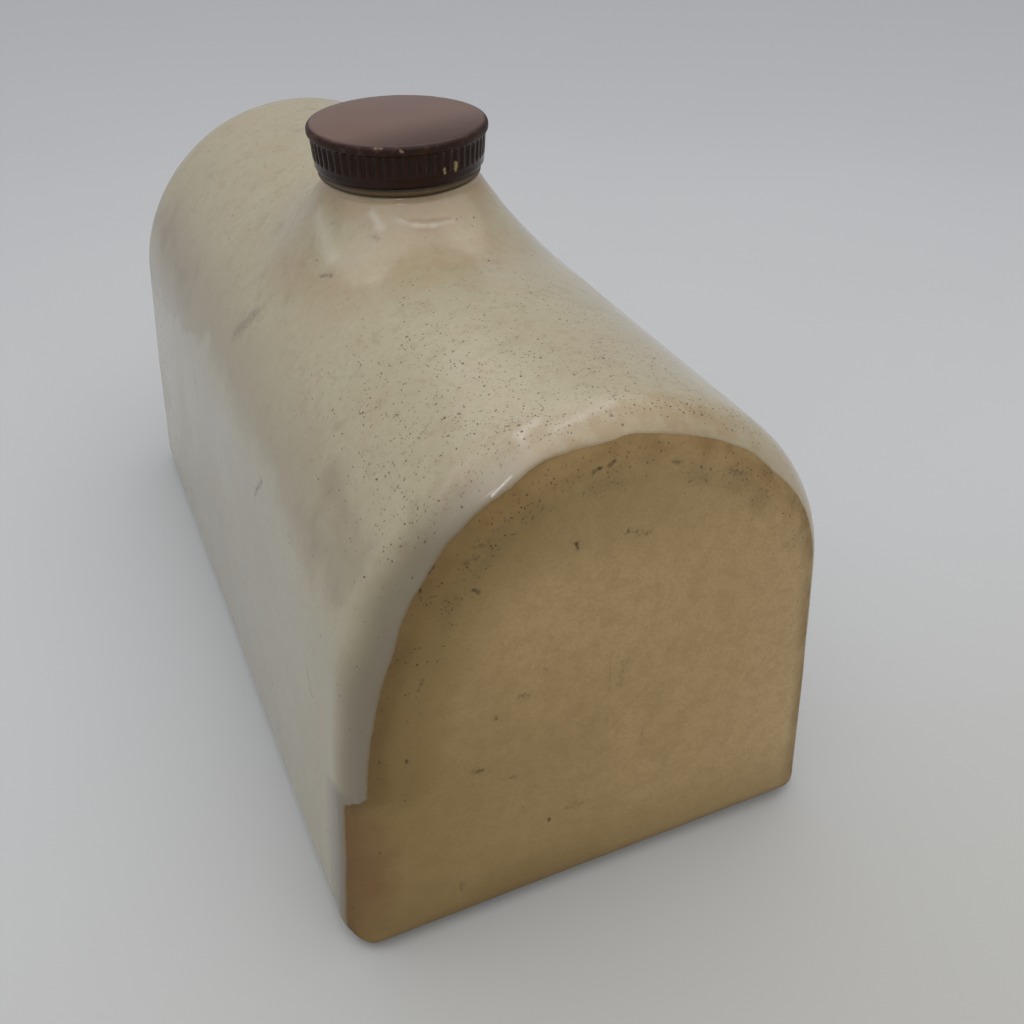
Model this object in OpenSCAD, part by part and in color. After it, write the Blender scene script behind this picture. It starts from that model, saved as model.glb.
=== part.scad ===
// Stoneware hot water bottle: a hollow arched body lying on its flat base, with a short flared neck
// in the crown, closed by a ribbed screw stopper that presses a rubber ring onto the neck's rim.
// Millimetres. +Z is up, the length lies along Y, and the unglazed end faces -Y.
// The origin is the middle of the flat base.

/* [Body] */
// Width across the base, measured where its side walls would meet the floor
base_w = 150; // [140:1:180]
// Height of the crown above the base
crown_h = 150; // [130:1:160]
// Length from one end to the other
body_l = 290; // [220:1:340]
// Inward lean of each side wall, in degrees
side_lean = 6.3; // [3:0.1:9]
// Thickness of the clay wall
wall_t = 8; // [6:0.5:11]
// Radius of the rolled edge round the unglazed end
near_round = 15; // [13:0.5:22]
// Radius of the rolled edge round the glazed end
far_round = 19; // [13:0.5:36]
// Radius of the two long base edges
foot_round = 8; // [4:0.5:10]
// Radius of the base edge along each end
heel_round = 10; // [4:0.5:12]

/* [Neck] */
// Distance of the neck's axis from mid-length, towards the unglazed end
neck_shift = 4; // [0:1:40]
// Height of the neck's rim above the crown
neck_h = 11.5; // [8:0.5:20]
// Outer diameter of the upright lip under the rim
lip_d = 47; // [44:0.5:56]
// Height of the upright lip
lip_h = 2; // [1.5:0.5:4]
// Radius of the lip's outer top edge
lip_round = 1; // [0.5:0.25:1.5]
// Width of the flare that carries the lip down into the crown
flare_w = 25; // [18:1:30]
// Diameter of the bore through the neck
bore_d = 33; // [28:0.5:36]

/* [Stopper] */
// Diameter of the flat disc on top of the head
disc_d = 53; // [52:0.2:64]
// Thickness of the disc at its edge
disc_t = 2.7; // [2.2:0.1:4]
// Radius of the disc's top edge
disc_round = 1.3; // [0.6:0.1:1.5]
// Radius of the disc's lower edge, where it overhangs the ribs
disc_under = 0.6; // [0.3:0.1:0.8]
// Rise of the disc's domed top from edge to middle
dome_rise = 0.5; // [0.4:0.1:2]
// Height of the ribbed band under the disc
grip_h = 6.2; // [5:0.2:12]
// Diameter of the ribbed band where it meets the disc
grip_d = 51.4; // [48:0.2:51.6]
// Draft of the ribbed band and the foot below it, in degrees
grip_draft = 4; // [2:0.5:8]
// Number of grooves between the ribs
rib_count = 60; // [36:1:72]
// Diameter of the round bottom of each groove
groove_d = 1.5; // [1:0.1:1.9]
// Height of the plain foot band under the ribs
foot_h = 3.2; // [2:0.2:5]
// Length of the shank below the head
shank_l = 26; // [20:1:36]
// Radial clearance of the shank in the bore
shank_gap = 0.5; // [0.3:0.1:1]
// Length of the chamfer on the shank's lower end
shank_chamfer = 2; // [1:0.5:4]

/* [Seal] */
// Outer diameter of the rubber ring
seal_d = 49.2; // [44:0.2:54]
// Thickness of the ring as it lies squeezed under the head
seal_t = 2.8; // [1.8:0.1:4]
// Radius of the ring's two outer edges
seal_round = 0.8; // [0.4:0.1:1.1]
// Radial clearance of the ring round the shank
seal_gap = 0.4; // [0.3:0.1:1]

/* [Hidden] */
$fn = 128;

// Overlap that lets one shape bite into the next, and overshoot of cutting tools
bite = 1;
// Number of points round the flare, and of steps down it
flare_sides = 72;
flare_steps = 9;
// Depth by which the flare's hem is sunk in the crown, and its step out from the lip
flare_sink = 0.4;
flare_ledge = 0.3;

// The arch is a circle tangent to both leaning sides and to the crown
arch_r = (base_w / 2 * cos(side_lean) - crown_h * sin(side_lean)) / (1 - sin(side_lean));
arch_z = crown_h - arch_r;
// Length of a leaning side, from the springing of the arch to just below the base
side_l = (arch_z + arch_r * sin(side_lean)) / cos(side_lean) + bite;
rim_z = crown_h + neck_h;
lip_r = lip_d / 2;
bore_r = bore_d / 2;
flare_r = lip_r + flare_ledge;
flare_top_z = rim_z - lip_h;
head_z = rim_z + seal_t;
shank_r = bore_r - shank_gap;
disc_r = disc_d / 2;
disc_z = foot_h + grip_h;
head_h = disc_z + disc_t + dome_rise;
// Sphere that gives the disc its shallow dome
dome_r = (disc_r * disc_r + dome_rise * dome_rise) / (2 * dome_rise);
grip_r = grip_d / 2;
grip_foot_r = grip_r - grip_h * tan(grip_draft);
foot_r = grip_r - disc_z * tan(grip_draft);

// Region outside a quarter round of radius r, centred on the round's own centre
module round_cut(r) {
    difference() {
        square(r + bite);
        circle(r);
    }
}

// Half of a lengthwise section through the arch's axis: x is the distance from the axis, y runs
// towards the unglazed end. inset moves every face inwards by the same amount, and past carries the
// half section beyond the axis.
module end_profile(inset, past) {
    reach = arch_r - inset;
    half_l = body_l / 2 - inset;
    near_r = near_round - inset;
    far_r = far_round - inset;
    difference() {
        translate([-past, -half_l])
            square([reach + past, 2 * half_l]);
        translate([reach - near_r, half_l - near_r])
            round_cut(near_r);
        translate([reach - far_r, far_r - half_l])
            mirror([0, 1])
                round_cut(far_r);
    }
}

// The arched form: the end profile is turned right round the arch's axis, and drawn down both leaning
// sides. The sides are tangent to the turned body, and reach past the axis to meet in the middle.
module arched_form(inset) {
    past = side_l * tan(side_lean) + bite;
    difference() {
        translate([0, 0, arch_z]) {
            rotate([90, 0, 0])
                rotate([0, 0, side_lean])
                    rotate_extrude()
                        end_profile(inset, 0);
            rotate([180, -side_lean, 0])
                linear_extrude(side_l)
                    end_profile(inset, past);
            rotate([0, 180 + side_lean, 0])
                linear_extrude(side_l)
                    mirror([0, 1])
                        end_profile(inset, past);
        }
        translate([-base_w, -body_l, inset - crown_h])
            cube([2 * base_w, 2 * body_l, crown_h]);
    }
}

// Rounds the two long base edges, each tangent to the base and to its leaning side
module foot_cuts() {
    centre_x = base_w / 2 - foot_round * tan(45 + side_lean / 2);
    reach = foot_round + bite;
    for (side = [0, 1])
        mirror([side, 0, 0])
            rotate([90, 0, 0])
                linear_extrude(body_l + 2 * bite, center = true)
                    difference() {
                        polygon([
                            [centre_x, foot_round],
                            [centre_x, -bite],
                            [base_w / 2 + bite, -bite],
                            [centre_x + reach * cos(side_lean), foot_round + reach * sin(side_lean)]
                        ]);
                        translate([centre_x, foot_round])
                            circle(foot_round);
                    }
}

// Rounds the base edge along both ends
module heel_cuts() {
    for (end = [0, 1])
        mirror([0, end, 0])
            translate([0, heel_round - body_l / 2, heel_round])
                rotate([90, 0, -90])
                    linear_extrude(base_w + 2 * bite, center = true)
                        rotate([0, 0, -90])
                            round_cut(heel_round);
}

// Height of the arch's outer surface above the base, at a distance x from the middle
function arch_top(x) = arch_z + sqrt(arch_r * arch_r - x * x);

// A point of the flare: turn is the angle round the neck, u runs from 0 under the lip to 1 at the hem.
// The height over the arch dies away as a parabola, so that the hem lies along the crown.
function flare_point(turn, u) =
    let (
        x = (flare_r + u * flare_w) * cos(turn),
        y = (flare_r + u * flare_w) * sin(turn),
        top = flare_top_z - arch_top(flare_r * cos(turn)) + flare_sink
    )
    [x, y, arch_top(x) - flare_sink + top * (1 - u) * (1 - u)];

// The saddle-shaped flare, closed at the top and drawn to a point inside the body
module flare() {
    count = flare_sides * (flare_steps + 1);
    points = [
        for (step = [0 : flare_steps], i = [0 : flare_sides - 1])
            flare_point(360 * i / flare_sides, step / flare_steps)
    ];
    skin = [
        for (step = [0 : flare_steps - 1], i = [0 : flare_sides - 1])
            let (
                a = step * flare_sides + i,
                b = step * flare_sides + (i + 1) % flare_sides
            )
            each [[a, b, b + flare_sides], [a, b + flare_sides, a + flare_sides]]
    ];
    lid = [for (i = [0 : flare_sides - 1]) [count, (i + 1) % flare_sides, i]];
    hem = [
        for (i = [0 : flare_sides - 1])
            let (row = flare_steps * flare_sides)
            [row + i, row + (i + 1) % flare_sides, count + 1]
    ];
    polyhedron(
        concat(points, [[0, 0, flare_top_z], [0, 0, arch_z]]),
        concat(skin, lid, hem)
    );
}

// The upright lip whose flat top carries the seal
module lip() {
    depth = lip_h + bite;
    translate([0, 0, rim_z - depth])
        rotate_extrude()
            difference() {
                square([lip_r, depth]);
                translate([lip_r - lip_round, depth - lip_round])
                    round_cut(lip_round);
            }
}

// The hollow body with its neck, one piece of clay
module bottle() {
    color("#b0a98c")
        difference() {
            union() {
                difference() {
                    arched_form(0);
                    foot_cuts();
                    heel_cuts();
                }
                translate([0, -neck_shift, 0]) {
                    flare();
                    lip();
                }
            }
            arched_form(wall_t);
            translate([0, -neck_shift, arch_z])
                cylinder(r = bore_r, h = rim_z - arch_z + bite);
        }
}

// The rubber ring between the rim and the stopper's head
module seal_ring() {
    seal_r = seal_d / 2;
    inner_r = shank_r + seal_gap;
    color("#6b5a38")
        translate([0, -neck_shift, rim_z])
            rotate_extrude()
                difference() {
                    translate([inner_r, 0])
                        square([seal_r - inner_r, seal_t]);
                    translate([seal_r - seal_round, seal_t - seal_round])
                        round_cut(seal_round);
                    translate([seal_r - seal_round, seal_round])
                        mirror([0, 1])
                            round_cut(seal_round);
                }
}

// Half section of the stopper's disc: a shallow dome with rounded edges
module disc_profile() {
    difference() {
        intersection() {
            translate([0, disc_z])
                square([disc_r, disc_t + dome_rise]);
            translate([0, head_h - dome_r])
                circle(dome_r, $fn = 720);
        }
        translate([disc_r - disc_round, disc_z + disc_t - disc_round])
            round_cut(disc_round);
        translate([disc_r - disc_under, disc_z + disc_under])
            mirror([0, 1])
                round_cut(disc_under);
    }
}

// One-piece stopper: domed disc, ribbed band, plain foot and a shank that goes down the bore
module stopper() {
    color("#37262a")
        translate([0, -neck_shift, head_z]) {
            rotate_extrude()
                disc_profile();
            difference() {
                rotate_extrude()
                    shank_profile();
                rib_grooves();
            }
        }
}

// Half section of the shank, the foot and the ribbed band, which bites into the disc above
module shank_profile() {
    polygon([
        [0, -shank_l],
        [shank_r - shank_chamfer, -shank_l],
        [shank_r, shank_chamfer - shank_l],
        [shank_r, 0],
        [foot_r, 0],
        [grip_r + bite * tan(grip_draft), disc_z + bite],
        [0, disc_z + bite]
    ]);
}

// The grooves that leave the ribs standing, cut along the band's draft and out through its top
module rib_grooves() {
    for (i = [0 : rib_count - 1])
        rotate([0, 0, 360 * i / rib_count])
            translate([grip_foot_r, 0, foot_h])
                rotate([0, grip_draft, 0])
                    cylinder(d = groove_d, h = (grip_h + 2 * bite) / cos(grip_draft), $fn = 24);
}

bottle();
seal_ring();
stopper();
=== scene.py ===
"""Looks of a stoneware hot water bottle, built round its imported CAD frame.

Sizes are millimetres in the CAD frame: the length lies along Y, the unglazed end faces -Y and the base
stands on z = 0. Meshes are scaled to metres as they are made.
"""

import math

import bmesh
import bpy
import numpy as np
from mathutils import Matrix, Vector, noise


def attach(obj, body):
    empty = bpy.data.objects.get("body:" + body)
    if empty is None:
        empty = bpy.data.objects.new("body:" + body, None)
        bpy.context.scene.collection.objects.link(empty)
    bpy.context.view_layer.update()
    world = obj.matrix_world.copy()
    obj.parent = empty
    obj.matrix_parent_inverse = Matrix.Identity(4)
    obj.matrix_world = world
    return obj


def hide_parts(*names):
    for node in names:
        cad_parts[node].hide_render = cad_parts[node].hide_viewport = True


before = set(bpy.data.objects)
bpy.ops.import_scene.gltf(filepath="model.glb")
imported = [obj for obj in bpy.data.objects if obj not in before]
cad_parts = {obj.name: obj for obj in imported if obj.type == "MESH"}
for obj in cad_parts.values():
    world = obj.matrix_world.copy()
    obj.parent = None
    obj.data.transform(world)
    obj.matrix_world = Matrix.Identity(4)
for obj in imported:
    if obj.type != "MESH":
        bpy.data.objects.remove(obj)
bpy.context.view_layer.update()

MM = 0.001

# Body, as in the CAD source
BASE_W = 150.0
CROWN_H = 150.0
HALF_L = 145.0
LEAN = math.radians(6.3)
WALL = 8.0
NEAR_ROUND = 15.0
FAR_ROUND = 19.0
FOOT_ROUND = 8.0
HEEL_ROUND = 10.0
ARCH_R = (BASE_W / 2 * math.cos(LEAN) - CROWN_H * math.sin(LEAN)) / (1 - math.sin(LEAN))
ARCH_Z = CROWN_H - ARCH_R

# Belly of the sides: its share of their width, its foot and height, and the heights between which it
# fades into the arch
BELLY = 0.018
BELLY_FOOT = 25.0
BELLY_H = 125.0
BELLY_FADE = (100.0, 146.0)

# Height of the middle of the flat ends, on which their rows close
FACE_MIDDLE = 0.47 * CROWN_H

# Neck, stopper and seal, as in the CAD source
NECK_Y = -4.0
RIM_Z = 161.5
LIP_R = 23.5
LIP_H = 2.0
LIP_ROUND = 1.0
FLARE_R = 23.8
FLARE_W = 25.0
HEAD_Z = 164.3
FOOT_H = 3.2
GRIP_H = 6.2
GRIP_R = 25.7
GRIP_DRAFT = math.tan(math.radians(4))
DISC_Z = HEAD_Z + FOOT_H + GRIP_H
DISC_R = 26.5
DISC_T = 2.7
DISC_ROUND = 1.3
DISC_UNDER = 0.6
DOME_RISE = 0.5
RIB_COUNT = 60
RIB_DEPTH = 0.7
SHANK_L = 26.0
SEAL_R = 24.6
SEAL_HOLE_R = 16.4
SEAL_T = 2.8

# The screw thread that the CAD model leaves plain: a round-crested ridge in the bore, and its partner
# on the shank half a pitch away
PITCH = 8.0
THREAD_DEPTH = 1.3
BORE_ROOT_R = 17.3
BORE_TOP = RIM_Z - 1.5
BORE_FOOT = 143.0
BORE_FADE = 2.5
SHANK_ROOT_R = 15.2
THREAD_STEP = 0.5

# Points along half of a cross-section: base, foot round, side wall, arch
BASE_STEPS = 20
FOOT_STEPS = 8
SIDE_STEPS = 38
ARCH_STEPS = 48
HALF_STEPS = BASE_STEPS + FOOT_STEPS + SIDE_STEPS + ARCH_STEPS

# Steps round the near and the far roll, shares of the rows on the flat ends, and rings in the neck's
# window, for the outside and for the hidden inside
OUTER_ROLLS = (66, 20)
OUTER_SHARES = 1 - np.linspace(0.0, 1.0, 30)[1:-1] ** 1.6
OUTER_RINGS = 30
INNER_ROLLS = (6, 6)
INNER_SHARES = np.array([0.8, 0.55, 0.3])
INNER_RINGS = 7
INNER_HOLE_R = 18.6

# Points round each rib, round and across the seal, and round and up the backdrop
RIB_STEPS = 8
SEAL_STEPS = (192, 28)
SWEEP_STEPS = (96, 32)

# Rows along the body: their spacing, and the wider spacing of the hidden inside away from the neck
ROW_STEP = 2.0
INSIDE_STEP = 6.0

# The window in the crown that holds the neck: its ends, and its columns each side of the crown line
WINDOW_Y = (NECK_Y - 56.0, NECK_Y + 56.0)
WINDOW_COLS = 30

# Where the glaze ends on the near roll: distance round the body from the crown line, negative on the
# left, and distance round the roll from the body's straight part. Below the notch on the left it ends
# sooner: the notch's lower and upper ends round the body, and its depth
GLAZE_LINE = (
    (-180, 12.8), (-150, 13.4), (-115, 13.2), (-88, 15.8), (-79, 16.8),
    (-70, 15), (-58, 14.6), (-47, 12.9), (-37, 12.6), (-29, 13.2),
    (-19, 11), (-9, 12.2), (0, 12.9), (4, 11.6), (9, 12.8),
    (22, 13.4), (43, 13.5), (51, 14.2), (78, 13), (150, 12),
)
NOTCH = (-134.0, -127.5, 7.0)

# The line's corners are smoothed over a spread, and it wanders: depth, size and seed of the noise
LINE_SOFTNESS = 2.5
LINE_WANDER = ((0.35, 9, 3), (0.2, 3.5, 4))

# Level of the line on the flat end, and the distances from the middle between which it leaves that level
FACE_EDGE = 12.0
FACE_SIDES = (25.0, 52.0)

# The glaze's step above the clay, and the bead along its edge
GLAZE_STEP = 0.35
GLAZE_BEAD = 0.3
BEAD_WIDTH = 1.9

# Uneven hand finish: depth, size and seed of its noise. It leaves alone the neck, up to a reach from its
# axis, and the base, up to a height
HAND_FINISH = ((0.22, 42, 1), (0.07, 15, 2))
NECK_REACH = (24.0, 34.0)
BASE_REACH = (1.0, 9.0)

# A thumb's dent in the front of the flare: centre, half size and depth
DENT_PLACE = (-1.0, -31.0, 156.8)
DENT_SIZE = (8.0, 6.0, 1.9)
DENT_DEPTH = 0.5

# Glaze distances of the lip, well inside the glaze, and of the bare bore and inside. The radii are where
# the glaze ends on the rim and where the bore begins
LIP_GLAZE = 140.0
BARE = -6.0
RIM_GLAZE_R = 22.6
BORE_EDGE_R = 19.0

# Clouds in the glaze, in mm: centre and half size, and a strength for the peach ones
PEACH_CLOUDS = (
    ((-39, -14, 141), (15, 24, 17), 0.55),
    ((-33, -38, 141), (15, 20, 14), 0.5),
    ((-4, -40, 151), (48, 26, 15), 0.72),
    ((0, -4, 159), (40, 40, 12), 1),
)
TAN_CLOUDS = (
    ((-22, -132, 146), (13, 9, 9)),
    ((-35.5, -136, 137.5), (9, 7, 9)),
    ((14, -137, 146.5), (15, 8, 9)),
)
# Smudges are grey-brown marks; those on the left shoulder are partly painted shade
SMUDGES_AND_SHADE = (
    ((-59, 96, 114), (14, 40, 16)),
    ((-60, 62, 110), (13, 24, 16)),
    ((40, 80, 132), (24, 34, 22)),
    ((-57, -106, 116), (15, 42, 22)),
    ((10, 143, 70), (46, 12, 34)),
    ((-48, 142, 30), (28, 14, 30)),
)

# Painted shade on the left shoulder over a painted reflection of the floor: its ragged lower edge and
# soft upper edge in z, and its ends in y
SHADE_FOOT = 106.0
SHADE_TOP = 134.0
SHADE_ENDS = (-118.0, -66.0, 70.0, 125.0)

# Marks of use, in mm: each runs from one point to another with a half width, and has a strength
SCUFFS = (
    ((-56, -3, 119), (-50, -8.6, 127), 4.2, 0.4),
    ((-65.6, -54.6, 94.8), (-64.1, -59.7, 101.6), 1.7, 0.7),
    ((-67.9, -108.6, 74.6), (-68.3, -112.8, 70.4), 1.2, 0.6),
    ((-33, -25.8, 142.8), (-30.7, -29.5, 143.8), 1.1, 0.6),
    ((-66.5, 34.8, 88.1), (-67.1, 31.4, 82.1), 2.8, 0.3),
    ((-17.4, -29.8, 153.1), (-16.9, -30.8, 152.6), 1.3, 0.5),
    ((69.6, 38, 62), (69.8, 42, 55), 1, 0.5),
    ((60.6, -30, 111), (58.4, -36, 115), 1.2, 0.5),
    ((22, 144.5, 96), (14, 144.5, 104), 1.3, 0.5),
    ((-30, 144.5, 46), (-24, 144.5, 44), 1.5, 0.4),
    ((38, 144.5, 30), (40, 144.5, 22), 1.2, 0.4),
)
CLAY_MARKS = (
    ((2.4, -144.4, 121.8), (7.2, -144.4, 119.8), 1.6, 0.6),
    ((-10.9, -144.4, 122.4), (-10.5, -144.4, 121), 0.9, 0.95),
    ((-34, -144, 128.7), (-32.5, -144.2, 128.4), 2.6, 0.45),
    ((-3.2, -143.4, 140.2), (-1.6, -143.4, 140.8), 0.8, 0.95),
    ((12.4, -143.9, 137.4), (14.6, -143.9, 136.6), 0.8, 0.95),
    ((29, -144.2, 130.5), (35, -144.2, 128), 1.6, 0.4),
    ((-48.4, -144.5, 95.7), (-49.5, -144.5, 93), 0.8, 0.8),
    ((-24.3, -144.5, 80.3), (-22.5, -144.5, 80.2), 1.6, 0.6),
    ((-36.8, -144.5, 60), (-33.1, -144.5, 59), 1.6, 0.6),
    ((-28.5, -144.5, 53.5), (-26, -144.5, 52.7), 1.5, 0.55),
    ((-30.9, -144.5, 76.4), (-30.9, -144.5, 75.7), 0.7, 0.95),
    ((-53.9, -144.3, 71.8), (-53.9, -144.3, 71.2), 0.7, 0.95),
    ((-16.2, -144.5, 31.7), (-16.2, -144.5, 30.8), 0.8, 0.9),
    ((-10.3, -144.5, 33.6), (-7.3, -144.5, 32.9), 2.2, 0.35),
    ((-41.7, -144.5, 18.5), (-41.5, -144.5, 15.8), 1.3, 0.7),
    ((4.1, -144.5, 81.2), (2.6, -144.5, 74), 1.6, 0.3),
    ((10.6, -144.5, 54.3), (10.7, -144.5, 48.6), 1.4, 0.3),
    ((-18.3, -144.5, 87.1), (-17.8, -144.5, 86.3), 1, 0.5),
    ((-46.9, -141.9, 119.7), (-46.8, -142.1, 119.3), 0.9, 0.95),
    ((-35.7, -144.5, 117.4), (-34.1, -144.5, 116.3), 0.8, 0.9),
    ((-36.9, -143.8, 124.9), (-34.7, -144, 125.8), 1.4, 0.55),
    ((-44.5, -141.6, 123.3), (-43.1, -141.5, 125), 0.8, 0.8),
    ((-6.9, -143.5, 139.7), (-5.2, -143.4, 140.2), 0.7, 0.95),
    ((-57.7, -142.3, 89.1), (-57.8, -142.3, 88.2), 0.8, 0.9),
)

# Clay marks of this strength or more are pits, which aren't broken up as the rubbed marks are
DEEP_MARK = 0.9

# Chips on the stopper, given as the marks are, and depth and half width of those in the rim
NICK_DEPTH = 0.35
NICK_W = 1.2
RIM_CHIPS = (
    ((-14, -26, 176.1), (-12.2, -26.9, 176), 0.5, 0.55),
    ((-8, -29.3, 175.5), (-7.3, -29.4, 175), 0.5, 0.7),
    ((20.4, 12.4, 176.1), (19, 14.2, 176), 0.7, 0.6),
)
RIB_CHIPS = (
    ((4.9, -28.9, 168.4), (5, -28.9, 167.4), 0.8, 0.9),
    ((8.6, -27.9, 169.4), (8.7, -27.9, 167.4), 0.8, 0.9),
)

# Runs of thick glaze on the near roll and below the lip, raised by the bump and painted pale as
# highlights, given as the marks are, and their fray
RUN_FRAY = 0.5
RUNS_AND_HIGHLIGHTS = (
    ((-19.9, -135.1, 145.9), (-19.2, -132.9, 146.9), 2.6, 0.26),
    ((-19.2, -132.9, 146.9), (-15.4, -131.6, 148.1), 2.6, 0.26),
    ((-12.5, -135.8, 147.6), (2.5, -133.8, 149.5), 2.6, 0.2),
    ((-29.1, -140.4, 137.9), (-24.4, -139.7, 140.9), 0.65, 0.9),
    ((-9.9, -29.4, 156.7), (-5.8, -32.2, 155.7), 2, 0.2),
    ((-5.8, -32.2, 155.7), (-1, -33.4, 155.3), 2, 0.2),
    ((-1, -33.4, 155.3), (4.6, -33.3, 155.4), 2, 0.2),
    ((-15.9, -24.5, 157.4), (-15.1, -28.7, 155), 2.6, 0.28),
    ((-27.5, -9, 153.5), (-29.4, -24, 146.6), 5, 0.24),
)

# Backdrop: radius of the flat floor and of the sweep round it, and the wall's height in front and behind
FLOOR_R = 600.0
SWEEP_R = 900.0
SWEEP_TOP = (700.0, 1200.0)

# Light tent: the direction of its brightest part, then the cosines from it and the levels between which
# the light rises, and the same for the softer fill from the front
TENT_TOP = (0.0, 0.2, 0.95)
TENT_LEVELS = (0.3, 1.0, 0.14, 1.74)
FILL_FRONT = (0.2, -1.0, 0.6)
FILL_LEVELS = (0.2, 1.0, 0.0, 0.62)

# Two small lamps for glints: place, aim, size in mm and power in W
SPARK = ((-374, -932, 968), (-26, -140, 140), 60, 1.2)
GLINT = ((190, 0, 1150), (0, -40, 120), 120, 0.12)

# Camera: the photograph's view, for an image of 1024 x 1024
VIEW_AZIMUTH = math.radians(-23.76)
VIEW_ELEVATION = math.radians(35.67)
VIEW_ROLL = math.radians(-0.46)
VIEW_TARGET = Vector((35.5, -4.0, 25.4))
VIEW_DISTANCE = 420.0
FOCAL_PIXELS = 1103.6
IMAGE_PIXELS = 1024
SENSOR_MM = 36.0


def smooth(value, low, high):
    """0 below low, 1 above high, and an S-curve between."""
    t = np.clip((value - low) / (high - low), 0.0, 1.0)
    return t * t * (3 - 2 * t)


def noise_at(points, size, seed):
    """Smooth noise of about -1 to 1 at each point, with features of the given size in mm."""
    shift = Vector((seed * 17.3, seed * 5.1, seed * 9.7))
    return np.array([noise.noise(Vector(p) / size + shift) for p in points])


def full_turn(count):
    """Equal turns round a full circle."""
    return np.linspace(0.0, 2 * math.pi, count, endpoint=False)


def link(name, data):
    """A new object in the scene."""
    made = bpy.data.objects.new(name, data)
    bpy.context.scene.collection.objects.link(made)
    return made


def make_object(name, points, faces, material):
    """A smooth-shaded mesh object from points in mm, with outward normals."""
    mesh = bpy.data.meshes.new(name)
    mesh.from_pydata((np.asarray(points) * MM).tolist(), [], faces)
    shape = bmesh.new()
    shape.from_mesh(mesh)
    bmesh.ops.recalc_face_normals(shape, faces=shape.faces)
    shape.to_mesh(mesh)
    shape.free()
    mesh.shade_smooth()
    mesh.materials.append(material)
    return link(name, mesh)


def strip(first, second):
    """Quads between two equal closed rows of point numbers."""
    return list(zip(first, np.roll(first, -1), np.roll(second, -1), second))


class Skin:
    """Points, faces and distances from the near roll of a growing surface."""

    def __init__(self):
        self.points = []
        self.along = []
        self.faces = []
        self.count = 0

    def add(self, points, along=0.0):
        """Adds points and returns their numbers."""
        numbers = np.arange(self.count, self.count + len(points))
        self.points.append(np.asarray(points, float))
        self.along.append(np.broadcast_to(np.asarray(along, float), len(points)))
        self.count += len(points)
        return numbers

    def grow(self, row, points, along=0.0):
        """Adds points as a row that is joined to the row before, and returns their numbers."""
        numbers = self.add(points, along)
        self.faces += strip(row, numbers)
        return numbers

    def fan(self, row, tip, along=0.0):
        """Closes a row of points onto one new point."""
        number = self.add([tip], along)[0]
        self.faces += [(a, b, number) for a, b in zip(row, np.roll(row, -1))]


# Body

def section(inset, lift):
    """One closed cross-section as (x, z) rows, from the middle of the base up the right side, over the
    crown and down the left side. inset moves the walls inwards and lift raises the base."""
    radius = ARCH_R - inset
    foot = max(FOOT_ROUND - inset, 2.0)
    spring = np.array([radius * math.cos(LEAN), ARCH_Z + radius * math.sin(LEAN)])
    corner_x = spring[0] + (spring[1] - lift) * math.tan(LEAN)
    foot_x = corner_x - foot * math.tan(math.pi / 4 + LEAN / 2)
    foot_z = lift + foot
    base = np.linspace([0.0, lift], [foot_x, lift], BASE_STEPS, endpoint=False)
    turn = np.linspace(-math.pi / 2, LEAN, FOOT_STEPS, endpoint=False)
    heel = np.stack([foot_x + foot * np.cos(turn), foot_z + foot * np.sin(turn)], 1)
    ankle = np.array([foot_x + foot * math.cos(LEAN), foot_z + foot * math.sin(LEAN)])
    side = np.linspace(ankle, spring, SIDE_STEPS, endpoint=False)
    turn = np.linspace(LEAN, math.pi / 2, ARCH_STEPS + 1)
    arch = np.stack([radius * np.cos(turn), ARCH_Z + radius * np.sin(turn)], 1)
    right = np.concatenate([base, heel, side, arch])
    left = right[-2:0:-1] * [-1, 1]
    return np.concatenate([right, left])


def heel_lift(gap):
    """Height of the base edge at a distance gap in from an end."""
    short = max(HEEL_ROUND - gap, 0.0)
    return HEEL_ROUND - math.sqrt(HEEL_ROUND**2 - short**2)


def loop_at(y, inset, lift):
    """A cross-section set at y, as (x, y, z) rows."""
    flat = section(inset, lift)
    return np.stack([flat[:, 0], np.full(len(flat), y), flat[:, 1]], 1)


def roll_loops(end, radius, inset, steps):
    """Loops round a rolled edge, from the straight body to the flat end, each with its distance from the
    start of the near roll. end is -1 for the near end and 1 for the far one."""
    loops = []
    half = HALF_L - inset
    start = 0.0 if end < 0 else NEAR_ROUND + FAR_ROUND - 2 * HALF_L
    for turn in np.linspace(0.0, math.pi / 2, steps + 1):
        gap = radius * (1 - math.sin(turn))
        lift = heel_lift(gap) if inset == 0.0 else inset
        loop = loop_at(end * (half - gap), inset + radius * (1 - math.cos(turn)), lift)
        loops.append((loop, np.full(len(loop), start - end * radius * turn)))
    return loops


def face_loops(end, edge, along, shares):
    """Loops that shrink from the rim of a flat end towards its middle."""
    middle = np.array([0.0, edge[0, 1], FACE_MIDDLE])
    inward = np.linalg.norm(edge - middle, axis=1)
    return [(middle + (edge - middle) * s, along - end * inward * (1 - s)) for s in shares]


def from_roll(y):
    """Distance of y from the start of the near roll, which is negative along the straight body."""
    return -(y + HALF_L - NEAR_ROUND)


def straight_loop(y, inset):
    """A loop on the straight part of the body, with its distances from the near roll."""
    loop = loop_at(y, inset, inset)
    return loop, np.full(len(loop), from_roll(y))


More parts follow.
